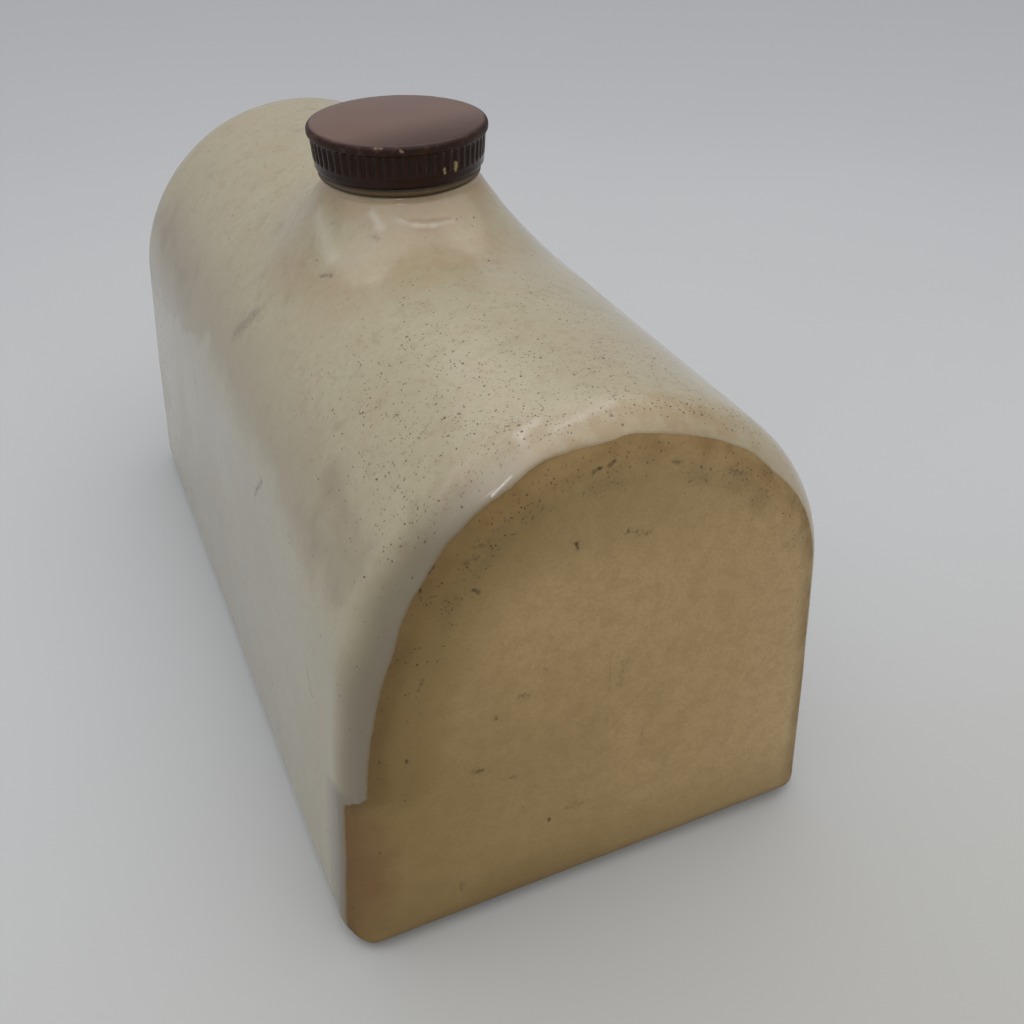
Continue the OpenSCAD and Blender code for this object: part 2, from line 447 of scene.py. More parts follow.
def body_loops(inset, roll_steps, face_shares):
    """All loops of the body from the middle of the near end to the middle of the far one, and the rows
    that bound the neck's window."""
    near = roll_loops(-1, NEAR_ROUND - inset, inset, roll_steps[0])
    far = roll_loops(1, FAR_ROUND - inset, inset, roll_steps[1])
    near_face = face_loops(-1, *near[-1], face_shares)
    far_face = face_loops(1, *far[-1], face_shares)
    marks = (-HALF_L + NEAR_ROUND, WINDOW_Y[0], WINDOW_Y[1], HALF_L - FAR_ROUND)
    loops = near_face[::-1] + near[::-1]
    spans = []
    for start, stop in zip(marks[:-1], marks[1:]):
        spans.append(len(loops) - 1)
        coarse = inset > 0.0 and start != WINDOW_Y[0]
        steps = round((stop - start) / (INSIDE_STEP if coarse else ROW_STEP))
        last = steps + 1 if stop < marks[-1] else steps
        loops += [straight_loop(y, inset) for y in np.linspace(start, stop, steps + 1)[1:last]]
    loops += far + far_face
    return loops, (spans[1], spans[2])


def window_border(rows):
    """(row, column, turn) round the neck's window. The turn is where each point goes round the neck."""
    first, last = HALF_STEPS - WINDOW_COLS, HALF_STEPS + WINDOW_COLS
    middle = (rows[0] + rows[1]) / 2
    reach = (rows[1] - rows[0]) / 2
    eighth = math.pi / 4
    border = []
    for col in range(first, last):
        border.append((rows[0], col, -2 * eighth + eighth * (HALF_STEPS - col) / WINDOW_COLS))
    for row in range(rows[0], rows[1]):
        border.append((row, last, 4 * eighth - eighth * (row - middle) / reach))
    for col in range(last, first, -1):
        border.append((rows[1], col, 2 * eighth - eighth * (HALF_STEPS - col) / WINDOW_COLS))
    for row in range(rows[1], rows[0], -1):
        border.append((row, first, eighth * (row - middle) / reach))
    return border


def flare_rise(x, y):
    """Height of the neck's flare above the arch."""
    reach = np.hypot(x, y - NECK_Y)
    share = np.clip(1 - (reach - FLARE_R) / FLARE_W, 0.0, 1.0)
    under_lip = FLARE_R * x / np.maximum(reach, 1e-6)
    top = RIM_Z - LIP_H - ARCH_Z - np.sqrt(ARCH_R**2 - under_lip**2)
    return top * share**2


def window_rings(border, outer, hole_r, radius, steps, rise):
    """Rings of points from the window's border in to a round hole about the neck's axis."""
    turns = np.array([turn for _, _, turn in border])
    start = np.stack([radius * np.arctan2(outer[:, 0], outer[:, 2] - ARCH_Z), outer[:, 1]], 1)
    hole_s = radius * np.arcsin(hole_r * np.cos(turns) / radius)
    hole = np.stack([hole_s, NECK_Y + hole_r * np.sin(turns)], 1)
    rings = []
    for k in range(1, steps + 1):
        share = 1 - (1 - k / steps) ** 1.5
        flat = start + (hole - start) * share
        x = radius * np.sin(flat[:, 0] / radius)
        z = ARCH_Z + radius * np.cos(flat[:, 0] / radius)
        if rise:
            z = z + flare_rise(x, flat[:, 1])
        rings.append(np.stack([x, flat[:, 1], z], 1))
    return rings


def add_shell(skin, inset, roll_steps, face_shares, hole_r, ring_steps, rise):
    """Adds one skin of the body with its neck window. Returns the numbers and turns round the hole."""
    loops, rows = body_loops(inset, roll_steps, face_shares)
    grid = np.array([skin.add(loop, along) for loop, along in loops])
    first, last = HALF_STEPS - WINDOW_COLS, HALF_STEPS + WINDOW_COLS
    for i in range(len(grid) - 1):
        for j, quad in enumerate(strip(grid[i], grid[i + 1])):
            if not (rows[0] <= i < rows[1] and first <= j < last):
                skin.faces.append(quad)
    for edge in (0, -1):
        loop, along = loops[edge]
        skin.fan(grid[edge], (0.0, loop[0, 1], FACE_MIDDLE), along.mean())
    border = window_border(rows)
    ring = np.array([grid[row, col] for row, col, _ in border])
    outer = np.array([loops[row][0][col] for row, col, _ in border])
    for points in window_rings(border, outer, hole_r, ARCH_R - inset, ring_steps, rise):
        ring = skin.grow(ring, points, from_roll(points[:, 1]))
    return ring, np.array([turn for _, _, turn in border])


def thread_ridge(z, turns, phase):
    """Height share of a right-handed thread's ridge at height z, for each turn round the axis."""
    wave = np.cos(2 * math.pi * (z / PITCH - turns / (2 * math.pi) + phase))
    return np.clip(wave, 0.0, 1.0) ** 0.8


def arc(middle_r, middle_z, size, start, stop, count):
    """(radius, z) rows round an arc about a middle, between two turns in degrees."""
    turns = np.radians(np.linspace(start, stop, count))
    return [(middle_r + size * math.cos(t), middle_z + size * math.sin(t)) for t in turns]


def neck_profile():
    """(radius, z) rows from the top of the flare over the lip and into the mouth of the bore."""
    rows = [(LIP_R + 0.12, RIM_Z - 1.65), (LIP_R + 0.02, RIM_Z - 1.3)]
    rows += arc(LIP_R - LIP_ROUND, RIM_Z - LIP_ROUND, LIP_ROUND, 0, 90, 7)
    rows += [(r, RIM_Z) for r in (21.4, 20.3, 19.2)]
    return rows + arc(BORE_ROOT_R + 1.0, RIM_Z - 1.0, 1.0, 90, 180, 6)


def ring_points(radius, turns, z):
    """Points round the neck's axis."""
    x = radius * np.cos(turns)
    y = NECK_Y + radius * np.sin(turns)
    return np.stack([x, y, np.broadcast_to(z, x.shape)], 1)


def body_skin():
    """The bottle as one closed skin: outside, lip, threaded bore and inside. Returns the skin and the
    numbers at which the lip and the inside begin."""
    skin = Skin()
    ring, turns = add_shell(skin, 0.0, OUTER_ROLLS, OUTER_SHARES, FLARE_R, OUTER_RINGS, True)
    lip_start = skin.count
    for radius, z in neck_profile():
        ring = skin.grow(ring, ring_points(radius, turns, z))
    for z in np.arange(BORE_TOP, BORE_FOOT, -THREAD_STEP):
        fade = smooth(z, BORE_FOOT, BORE_FOOT + BORE_FADE)
        fade = fade * (1 - smooth(z, BORE_TOP - BORE_FADE, BORE_TOP))
        radius = BORE_ROOT_R - THREAD_DEPTH * fade * thread_ridge(z, turns, 0.0)
        ring = skin.grow(ring, ring_points(radius, turns, z))
    inside_start = skin.count
    hole, _ = add_shell(skin, WALL, INNER_ROLLS, INNER_SHARES, INNER_HOLE_R, INNER_RINGS, False)
    skin.faces += strip(ring, hole)
    return skin, lip_start, inside_start


def swell(points):
    """Lets the sides belly out a little at mid height and draw in at the foot."""
    z = points[:, 2]
    share = BELLY * np.sin(math.pi * (z - BELLY_FOOT) / BELLY_H) * (1 - smooth(z, *BELLY_FADE))
    points[:, 0] *= 1 + share


def glaze_edge(round_body):
    """Distance round the near roll at which the glaze ends, for distances round the body."""
    places, ends = np.array(GLAZE_LINE).T
    fine = np.arange(places[0], places[-1], 1.0)
    reach = np.arange(-8.0, 9.0)
    weights = np.exp(-((reach / LINE_SOFTNESS) ** 2) / 2)
    level = sum(w * np.interp(fine + r, places, ends) for r, w in zip(reach, weights)) / weights.sum()
    low, high, depth = NOTCH
    return np.interp(round_body, fine, level) - depth * (1 - smooth(round_body, low, high))


def distance_round(points):
    """Distance of points round the body from the crown line, negative on the left, and which of them lie
    below the arch."""
    around = np.arctan2(points[:, 0], points[:, 2] - ARCH_Z)
    wall = np.abs(around) > math.pi / 2 - LEAN
    springing = ARCH_R * (math.pi / 2 - LEAN)
    down = ARCH_Z + ARCH_R * math.sin(LEAN) - points[:, 2]
    return np.where(wall, np.sign(points[:, 0]) * (springing + down), ARCH_R * around), wall


def glaze_depth(points, along, round_body, wall, lip_start, inside_start):
    """How far each point lies inside the glaze, in mm. It is below zero on bare clay."""
    edge = glaze_edge(round_body)
    share = smooth(np.abs(points[:, 0]), *FACE_SIDES)
    edge = np.where(wall & (along > 0), FACE_EDGE + (edge - FACE_EDGE) * share, edge)
    for depth, size, seed in LINE_WANDER:
        edge = edge + depth * noise_at(points, size, seed)
    glaze = edge - along
    reach = np.linalg.norm(points[:, :2] - [0.0, NECK_Y], axis=1)
    lip = slice(lip_start, inside_start)
    on_rim = points[lip, 2] > RIM_Z - 0.4
    glaze[lip] = np.where(on_rim, reach[lip] - RIM_GLAZE_R, LIP_GLAZE)
    bore = (np.arange(len(points)) >= lip_start) & (reach < BORE_EDGE_R)
    glaze[bore] = BARE
    glaze[inside_start:] = BARE
    return glaze


def skin_shift(points, glaze, round_body):
    """How far each point of the outside moves along its normal: the glaze's step and bead, the thumb's
    dent, and an uneven hand finish that leaves the neck and the base alone."""
    thick = 1 - 0.75 * smooth(round_body, -22.0, 2.0)
    step = GLAZE_STEP * thick * (smooth(glaze, -0.3, 0.5) - 1)
    bead = GLAZE_BEAD * thick * np.exp(-((glaze / BEAD_WIDTH - 1) ** 2))
    uneven = sum(-depth * (1 + noise_at(points, size, seed)) for depth, size, seed in HAND_FINISH)
    still = smooth(np.hypot(points[:, 0], points[:, 1] - NECK_Y), *NECK_REACH)
    grounded = smooth(points[:, 2], *BASE_REACH)
    dent = DENT_DEPTH * np.exp(-(((points - DENT_PLACE) / DENT_SIZE) ** 2).sum(1))
    return (step + bead) * grounded + uneven * still * grounded - dent


def build_bottle(material):
    """The bottle's mesh, with the glaze standing proud of the bare clay at the near end."""
    skin, lip_start, inside_start = body_skin()
    points = np.concatenate(skin.points)
    along = np.concatenate(skin.along)
    swell(points)
    made = make_object("bottle_stoneware", points, skin.faces, material)
    mesh = made.data
    normals = np.zeros(len(points) * 3, np.float32)
    mesh.vertices.foreach_get("normal", normals)
    round_body, wall = distance_round(points)
    glaze = glaze_depth(points, along, round_body, wall, lip_start, inside_start)
    shift = skin_shift(points, glaze, round_body)
    shift[lip_start:] = 0.0
    points = points + normals.reshape(-1, 3) * shift[:, None]
    points[:, 2] = np.maximum(points[:, 2], 0.0)
    mesh.vertices.foreach_set("co", (points * MM).astype(np.float32).ravel())
    layer = mesh.attributes.new("glaze", "FLOAT", "POINT")
    layer.data.foreach_set("value", glaze.astype(np.float32))
    mesh.update()
    return made


# Stopper and seal

def lathe(rows, columns, shape):
    """A closed surface about the neck's axis. rows are (radius, z), shape(radius, z, turns) gives each
    row's radii, and both ends close onto the axis."""
    turns = full_turn(columns)
    rings = [ring_points(shape(radius, z, turns), turns, z) for radius, z in rows]
    skin = Skin()
    ring = skin.add(rings[0])
    skin.fan(ring, (0.0, NECK_Y, rows[0][1]))
    for points in rings[1:]:
        ring = skin.grow(ring, points)
    skin.fan(ring, (0.0, NECK_Y, rows[-1][1]))
    return np.concatenate(skin.points), skin.faces


def stopper_rows():
    """(radius, z) rows down the stopper, from the middle of its top to the end of its shank."""
    top = DISC_Z + DISC_T + DOME_RISE
    dome_r = (DISC_R**2 + DOME_RISE**2) / (2 * DOME_RISE)
    edge_r = DISC_R - DISC_ROUND
    rows = []
    for r in np.concatenate([np.linspace(2.0, 22.0, 11), np.linspace(22.8, edge_r, 4)]):
        rows.append((r, top - dome_r + math.sqrt(dome_r**2 - r**2)))
    rows += arc(edge_r, DISC_Z + DISC_T - DISC_ROUND, DISC_ROUND, 80, 0, 8)
    rows += arc(DISC_R - DISC_UNDER, DISC_Z + DISC_UNDER, DISC_UNDER, 0, -80, 6)
    foot_z = HEAD_Z + FOOT_H
    grip = np.linspace(DISC_Z - 0.15, foot_z - 0.4, 20)
    foot = np.linspace(foot_z - 0.8, HEAD_Z + 0.5, 6)
    for z in np.concatenate([grip, foot]):
        rows.append((GRIP_R - (DISC_Z - z) * GRIP_DRAFT, z))
    foot_r = GRIP_R - (DISC_Z - HEAD_Z) * GRIP_DRAFT
    rows += [(foot_r - 0.15, HEAD_Z + 0.15), (foot_r - 0.5, HEAD_Z), (21.0, HEAD_Z), (17.0, HEAD_Z)]
    rows += [(SHANK_ROOT_R + 0.3, HEAD_Z - 0.4)]
    shank_foot = HEAD_Z - SHANK_L
    for z in np.arange(HEAD_Z - 1.0, shank_foot + 2.0, -THREAD_STEP):
        rows.append((SHANK_ROOT_R, z))
    rows += [(14.7, shank_foot + 1.2), (13.9, shank_foot + 0.4), (13.0, shank_foot + 0.05)]
    rows += [(12.0, shank_foot), (6.0, shank_foot)]
    return rows


def rib_cut(z, turns):
    """Depth of the grooves between the ribs at height z, worn shallower in places."""
    foot_z = HEAD_Z + FOOT_H
    middle = (foot_z + DISC_Z) / 2 - 0.2
    reach = (DISC_Z - foot_z) / 2
    fade = max(1 - abs((z - middle) / reach) ** 6, 0.0)
    rib = np.clip(0.5 - 0.95 * np.cos(RIB_COUNT * turns), 0.0, 1.0)
    wear = 0.78 + 0.14 * np.sin(2 * turns + 0.7) + 0.08 * np.sin(13 * turns + z)
    return RIB_DEPTH * fade * wear * (1 - rib)


def rim_nick(z, turns):
    """Depth of the small chips knocked out of the disc's rim at height z."""
    depth = np.zeros(len(turns))
    for start, end, width, strength in RIM_CHIPS:
        middle = (Vector(start) + Vector(end)) / 2
        turn = math.atan2(middle.y - NECK_Y, middle.x)
        apart = (turns - turn + math.pi) % (2 * math.pi) - math.pi
        off = (apart * DISC_R / NICK_W) ** 2 + ((z - middle.z) / width) ** 2
        depth += NICK_DEPTH * strength * np.exp(-off)
    return depth


def stopper_shape(radius, z, turns):
    """Radii of one stopper row: chips on the rim, ribs on the grip, a thread on the shank."""
    foot_z = HEAD_Z + FOOT_H
    if foot_z - 0.5 < z < DISC_Z - 0.1 and radius > 20:
        return radius + 0.1 - rib_cut(z, turns)
    if z > DISC_Z and radius > 24:
        return radius - rim_nick(z, turns)
    if z < HEAD_Z - 0.9 and radius == SHANK_ROOT_R:
        low, high = HEAD_Z - SHANK_L + 3.0, HEAD_Z - 4.0
        fade = smooth(z, low, low + 2.0) * (1 - smooth(z, high - 1.5, high))
        return radius + THREAD_DEPTH * fade * thread_ridge(z, turns, 0.5)
    return np.full(len(turns), float(radius))


def build_stopper(material):
    """The ribbed screw stopper."""
    points, faces = lathe(stopper_rows(), RIB_COUNT * RIB_STEPS, stopper_shape)
    return make_object("stopper_stoneware", points, faces, material)


def build_seal(material):
    """The rubber ring, squeezed into a slightly uneven bulge."""
    skin = Skin()
    turns = full_turn(SEAL_STEPS[0])
    middle = RIM_Z + SEAL_T / 2
    rows = []
    for turn in full_turn(SEAL_STEPS[1]):
        across = np.sign(math.cos(turn)) * abs(math.cos(turn)) ** 0.25
        up = np.sign(math.sin(turn)) * abs(math.sin(turn)) ** 0.45
        width = (SEAL_R - SEAL_HOLE_R) / 2 - 0.2
        rows.append((SEAL_HOLE_R + 0.1 + width + width * across, middle + (SEAL_T / 2 - 0.02) * up))
    loops = []
    for radius, z in rows:
        bulge = 0.18 * np.sin(3 * turns + 0.6) + 0.1 * np.sin(7 * turns)
        bulge = bulge * smooth(radius, 22.0, 24.4) - 0.1
        loops.append(skin.add(ring_points(radius + bulge, turns, z)))
    for first, second in zip(loops, loops[1:] + loops[:1]):
        skin.faces += strip(first, second)
    return make_object("seal_rubber", np.concatenate(skin.points), skin.faces, material)


# Materials

def srgb(red, green, blue):
    """A colour given in screen values of 0 to 255, as linear RGBA."""
    linear = []
    for value in (red, green, blue):
        v = value / 255
        linear.append(v / 12.92 if v <= 0.04045 else ((v + 0.055) / 1.055) ** 2.4)
    return (*linear, 1.0)


class Nodes:
    """A small builder for one tree of nodes."""

    def __init__(self, tree):
        self.tree = tree

    def feed(self, socket, value):
        """Links a socket, or sets a constant."""
        if isinstance(value, bpy.types.NodeSocket):
            self.tree.links.new(value, socket)
        else:
            socket.default_value = value

    def node(self, kind, **inputs):
        """A new node, with its inputs fed by name."""
        made = self.tree.nodes.new("ShaderNode" + kind)
        for name, value in inputs.items():
            self.feed(made.inputs[name], value)
        return made

    def vector(self, operation, first, second=None, scale=None):
        """Vector maths on one or two values."""
        made = self.node("VectorMath")
        made.operation = operation
        self.feed(made.inputs[0], first)
        if second is not None:
            self.feed(made.inputs[1], second)
        if scale is not None:
            self.feed(made.inputs["Scale"], scale)
        return made.outputs["Value" if operation in ("LENGTH", "DOT_PRODUCT") else "Vector"]

    def math(self, operation, first, second=0):
        """Maths on one or two values."""
        made = self.node("Math")
        made.operation = operation
        self.feed(made.inputs[0], first)
        self.feed(made.inputs[1], second)
        return made.outputs[0]

    def fold(self, operation, values):
        """Maths on several values, from first to last."""
        total = values[0]
        for value in values[1:]:
            total = self.math(operation, total, value)
        return total

    def add(self, *values):
        """Sum of several values."""
        return self.fold("ADD", values)

    def times(self, *values):
        """Product of several values."""
        return self.fold("MULTIPLY", values)

    def most(self, *values):
        """The greatest of several values."""
        return self.fold("MAXIMUM", values)

    def span(self, value, low, high, start=0, stop=1):
        """Smoothly maps low..high to start..stop."""
        made = self.node("MapRange")
        made.interpolation_type = "SMOOTHSTEP"
        for socket, item in zip(made.inputs, (value, low, high, start, stop)):
            self.feed(socket, item)
        return made.outputs[0]

    def fall(self, value, low, high, stop=0):
        """Smoothly maps low..high to 1..stop."""
        return self.span(value, low, high, 1, stop)

    def band(self, value, low, full, fade, high, stop=0):
        """Rises from 0 at low to 1 at full, and falls from 1 at fade to stop at high."""
        return self.times(self.span(value, low, full), self.fall(value, fade, high, stop))


class Paint(Nodes):
    """The nodes of one new material. Positions are in mm of the CAD frame."""

    def __init__(self, name):
        self.material = bpy.data.materials.new(name)
        self.material.use_nodes = True
        super().__init__(self.material.node_tree)
        self.shader = self.tree.nodes["Principled BSDF"]
        self.place = self.vector("SCALE", self.node("TexCoord").outputs["Object"], scale=1 / MM)
        self.x, self.y, self.z = self.node("SeparateXYZ", Vector=self.place).outputs
        self.noises = {}
        self.ragged = self.shaken(0.9, 0.9)

    def mix(self, share, first, second):
        """A blend of two colours by the second one's share."""
        made = self.node("Mix")
        made.data_type = "RGBA"
        self.feed(made.inputs[0], share)
        self.feed(made.inputs[6], first)
        self.feed(made.inputs[7], second)
        return made.outputs[2]

    def noise(self, size, detail=3, roughness=0.5, distortion=0):
        """Noise of 0 to 1 with features of about the given size in mm, made once for each setting."""
        key = (size, detail, roughness, distortion)
        if key not in self.noises:
            made = self.node("TexNoise", Vector=self.place, Scale=1 / size, Detail=detail,
                             Roughness=roughness, Distortion=distortion)
            self.noises[key] = made.outputs["Fac"]
        return self.noises[key]

    def swing(self, reach, size, detail=3, roughness=0.5):
        """Noise about zero, of the given whole reach."""
        return self.times(self.math("SUBTRACT", self.noise(size, detail, roughness), 0.5), reach)

    def shaken(self, size, reach):
        """The position, moved about by noise of the given size and reach in mm."""
        shift = self.node("TexNoise", Vector=self.place, Scale=1 / size, Detail=1).outputs["Color"]
        away = self.vector("SUBTRACT", shift, (0.5, 0.5, 0.5))
        return self.vector("ADD", self.place, self.vector("SCALE", away, scale=reach))

    def spots(self, cell, radius, share):
        """Ragged specks: a share of the cells holds a speck of up to the given radius in mm."""
        cells = self.node("TexVoronoi", Vector=self.ragged, Scale=1 / cell)
        chance = self.node("SeparateColor", Color=cells.outputs["Color"])
        size = self.span(chance.outputs[1], 0, 1, 0.35 * radius / cell, radius / cell)
        shape = self.fall(self.math("DIVIDE", cells.outputs["Distance"], size), 0.6, 1)
        kept = self.math("LESS_THAN", chance.outputs[0], share)
        return self.times(shape, kept, self.span(chance.outputs[2], 0, 1, 0.35, 1))

    def patch(self, centre, size):
        """A soft ellipsoid of 1 at centre and 0 outside size, in mm, with a ragged edge."""
        local = self.vector("DIVIDE", self.vector("SUBTRACT", self.place, centre), size)
        reach = self.add(self.vector("LENGTH", local), self.swing(1, 12, 3, 0.6))
        return self.fall(reach, 0.2, 1)

    def streak(self, start, end, width, ragged=2.2):
        """A soft line of 1 from start to end and 0 beyond its half width, in mm, with a ragged edge."""
        along = Vector(end) - Vector(start)
        local = self.vector("SUBTRACT", self.place, start)
        share = self.vector("DOT_PRODUCT", local, tuple(along / along.length_squared))
        share = self.math("MINIMUM", self.math("MAXIMUM", share, 0), 1)
        nearest = self.vector("SCALE", tuple(along), scale=share)
        gap = self.vector("LENGTH", self.vector("SUBTRACT", local, nearest))
        reach = self.add(self.math("DIVIDE", gap, width), self.swing(ragged, 1.3, 3, 0.6))
        return self.fall(reach, -0.2, 1)

    def bump(self, height, strength, distance):
        """Sets the surface bump from a height in mm."""
        made = self.node("Bump", Strength=strength, Distance=distance * MM, Height=height)
        self.feed(self.shader.inputs["Normal"], made.outputs[0])

    def surface(self, **values):
        """Feeds the shader's sockets by name, with _ for a space."""
        for key, value in values.items():
            self.feed(self.shader.inputs[key.replace("_", " ")], value)
        return self.material


class Coat:
    """A tone that starts as a blend of two and takes one overlaid colour after another: stains, and also
    painted shade, reflection and highlights.
    """

    def __init__(self, paint, share, first, second):
        self.paint = paint
        self.tone = paint.mix(share, first, second)

    def stain(self, colour, share, *masks):
        """Lays a screen colour over the tone by a share and any number of masks."""
        self.tone = self.paint.mix(self.paint.times(share, *masks), self.tone, srgb(*colour))

    def marks(self, colour, rows, ragged=2.2):
        """Lays a screen colour along each row of start, end, half width and strength."""
        for start, end, width, strength in rows:
            self.stain(colour, strength, self.paint.streak(start, end, width, ragged))


def shoulder_shade_and_reflection(paint, cream):
    """Paints shade in brown on the left shoulder down to a ragged line, and a pale grey painted
    reflection of the floor on the wall below it.
    """
    ragged = paint.swing(24, 15, 3, 0.55)
    drop = paint.span(paint.y, 10, 110, 0, 22)
    level = paint.math("SUBTRACT", paint.add(paint.z, ragged, drop), SHADE_FOOT)
    soft = paint.span(paint.y, -50, 40, 8, 2.5)
    over = paint.span(paint.math("DIVIDE", level, soft), -1, 1)
    ends = paint.times(paint.band(paint.y, *SHADE_ENDS, 0.5), paint.fall(paint.x, -46, -34))
    above = paint.times(over, paint.fall(paint.z, SHADE_FOOT, SHADE_TOP), ends)
    below = paint.times(paint.math("SUBTRACT", 1, over), ends)
    # painted shade on the shoulder above the ragged line
    cream.stain((145, 133, 115), 0.52, above)
    # painted reflection of the pale floor on the wall below the line
    cream.stain((176, 175, 172), 0.25, below)


def near_edge(paint, cream, glaze, mottle):
    """Tones the glaze along its near edge: on the left a lilac band, partly glaze colour and partly
    painted reflection, then painted shade; tan on the right.
    """
    left = paint.fall(paint.x, -30, -8)
    right = paint.band(paint.x, -30, -8, 22, 40, 0.5)
    # partly glaze colour, partly painted reflection: a pale lilac band by the line on the left
    lilac = paint.band(glaze, 0, 1.2, 3, 7)
    cream.stain((172, 161, 148), 0.6, lilac, left)
    tan = paint.band(glaze, -0.5, 1, 4, 13)
    cream.stain((153, 131, 100), 0.8, tan, right, mottle)
    # painted shade: darkens the glaze by the line on the left, most strongly low down
    shade = paint.times(
        paint.fall(glaze, 3, 15),
        paint.fall(paint.x, -37, -15),
        paint.fall(paint.z, 126, 146, 0.45),
    )
    cream.stain((101, 92, 74), 0.72, shade)


def glaze_colour(paint, glaze):
    """Cream glaze: clouded, warm round the neck and the near edge, smudged and scuffed, with painted
    shade on the left shoulder, in some smudges and by the near edge, a painted floor reflection below
    the shoulder, and painted highlights on the runs.
    """
    cream = Coat(paint, paint.noise(60, 4, 0.55), srgb(160, 152, 127), srgb(184, 177, 153))
    green = paint.span(paint.noise(33, 3), 0.45, 0.7)
    cream.stain((167, 164, 138), 0.3, green)
    cloud = paint.span(paint.noise(14, 4, 0.55, 0.2), 0.4, 0.66)
    cream.stain((174, 156, 134), 0.25, cloud)
    mottle = paint.span(paint.noise(4.5, 4, 0.65), 0.36, 0.6, 0.5, 1)
    for centre, size, strength in PEACH_CLOUDS:
        cream.stain((164, 144, 118), strength, paint.patch(centre, size), mottle)
    collar = paint.span(paint.z, 153, 158.5)
    cream.stain((166, 136, 106), 0.3, collar)
    speckle = paint.span(paint.noise(2, 4, 0.7), 0.4, 0.6, 0.25, 1)
    for centre, size in TAN_CLOUDS:
        cream.stain((160, 139, 112), 0.65, paint.patch(centre, size), speckle)
    # smudges, partly painted shade on the left shoulder
    smoke = paint.span(paint.noise(18, 3, 0.55, 0.3), 0.35, 0.68, 0.3, 1)
    for centre, size in SMUDGES_AND_SHADE:
        cream.stain((134, 121, 101), 0.72, smoke, paint.patch(centre, size))
    shoulder_shade_and_reflection(paint, cream)
    grime = paint.times(paint.span(paint.noise(6, 5, 0.72), 0.5, 0.72), paint.span(paint.z, 95, 135))
    cream.stain((138, 122, 96), 0.38, grime)
    cream.stain((150, 138, 112), 0.2, speckle)
    near_edge(paint, cream, glaze, mottle)
    # painted highlights along the runs, and a painted glint along the bead
    cream.marks((222, 217, 208), RUNS_AND_HIGHLIGHTS, RUN_FRAY)
    cream.marks((92, 80, 72), SCUFFS)
    return cream


def glaze_specks(paint, glaze):
    """Iron specks in the glaze, thick towards the near edge of the crown and thin elsewhere."""
    near = paint.band(glaze, 1, 6, 12, 110, 0.04)
    crown = paint.span(paint.z, 112, 146, 0.04, 1)
    drift = paint.span(paint.noise(15, 3, 0.6), 0.36, 0.6, 0.3, 1)
    share = paint.times(near, crown, drift)
    fine = paint.spots(0.8, 0.35, share)
    coarse = paint.spots(2.1, 0.54, paint.times(share, 0.6))
    rare = paint.spots(6, 0.55, 0.12)
    return paint.most(fine, coarse, rare)


def toasted_edge(paint, clay, glaze):
    """Toasts the clay along the glaze line, burns it on the left, and lets dirt gather behind it."""
    toast = paint.span(glaze, -9, -1.5)
    uneven = paint.span(paint.noise(8, 4, 0.6), 0.3, 0.7, 0.45, 1)
    clay.stain((112, 86, 44), 0.8, toast, uneven)
    burnt = paint.times(paint.span(glaze, -7, -1), paint.fall(paint.x, -48, -14))
    clay.stain((84, 64, 34), 0.4, burnt)
    drift = paint.span(paint.noise(11, 3, 0.6), 0.38, 0.6, 0.3, 1)
    dirt = paint.band(glaze, -13, -9, -6.5, -4)
    crown = paint.span(paint.z, 84, 122)
    clay.stain((92, 72, 42), 0.27, dirt, drift, crown)


def clay_colour(paint, glaze):
    """Bare clay: sandy tan, paler below and on the right, olive on the left, with painted shade at the
    lower left and along the foot, marked by handling.
    """
    clay = Coat(paint, paint.noise(30, 5, 0.6), srgb(158, 134, 92), srgb(174, 150, 108))
    lower = paint.fall(paint.z, 106, 128)
    clay.stain((183, 157, 112), 0.6, lower)
    right = paint.span(paint.x, 28, 74)
    clay.stain((203, 178, 142), 0.4, right, lower)
    edge = paint.times(paint.span(glaze, -34, -6), paint.fall(paint.x, -50, 34))
    olive = paint.most(edge, paint.span(paint.x, -70, -16, 0.8, 0))
    clay.stain((117, 95, 52), 0.75, olive)
    # painted shade over the lower left of the flat end
    heel = paint.patch((-30, -144, 44), (66, 60, 62))
    clay.stain((122, 99, 52), 0.34, heel)
    # painted shade along the foot
    foot = paint.fall(paint.z, 4, 34)
    clay.stain((121, 98, 55), 0.5, foot)
    toasted_edge(paint, clay, glaze)
    corner = paint.patch((-68, -139, 30), (14, 12, 40))
    clay.stain((114, 82, 50), 0.7, corner)
    blotch = paint.span(paint.noise(5, 4, 0.65, 0.3), 0.42, 0.62)
    clay.stain((132, 108, 62), 0.18, blotch)
    grit = paint.span(paint.noise(0.8, 2, 0.7), 0.36, 0.7)
    clay.stain((122, 98, 62), 0.22, grit)
    rubbed = paint.span(paint.noise(0.9, 3, 0.7), 0.42, 0.58)
    for start, end, width, strength in CLAY_MARKS:
        worn = rubbed if strength < DEEP_MARK else 1.0
        clay.stain((44, 29, 13), strength, paint.streak(start, end, width), worn)
    return clay


def clay_pits(paint, glaze):
    """Small dark pits, clustered on the turn of the near edge and rare elsewhere."""
    turn = paint.band(glaze, -15, -9, -3, -0.5, 0.25)
    crown = paint.span(paint.z, 84, 128, 0.15, 1)
    drift = paint.span(paint.noise(11, 3, 0.6), 0.38, 0.6, 0.1, 1)
    share = paint.times(turn, crown, drift)
    fine = paint.spots(0.8, 0.34, paint.times(share, 0.8))
    coarse = paint.spots(2.2, 0.46, paint.times(share, 0.35))
    rare = paint.spots(3.4, 0.34, 0.06)
    return paint.most(fine, coarse, rare)


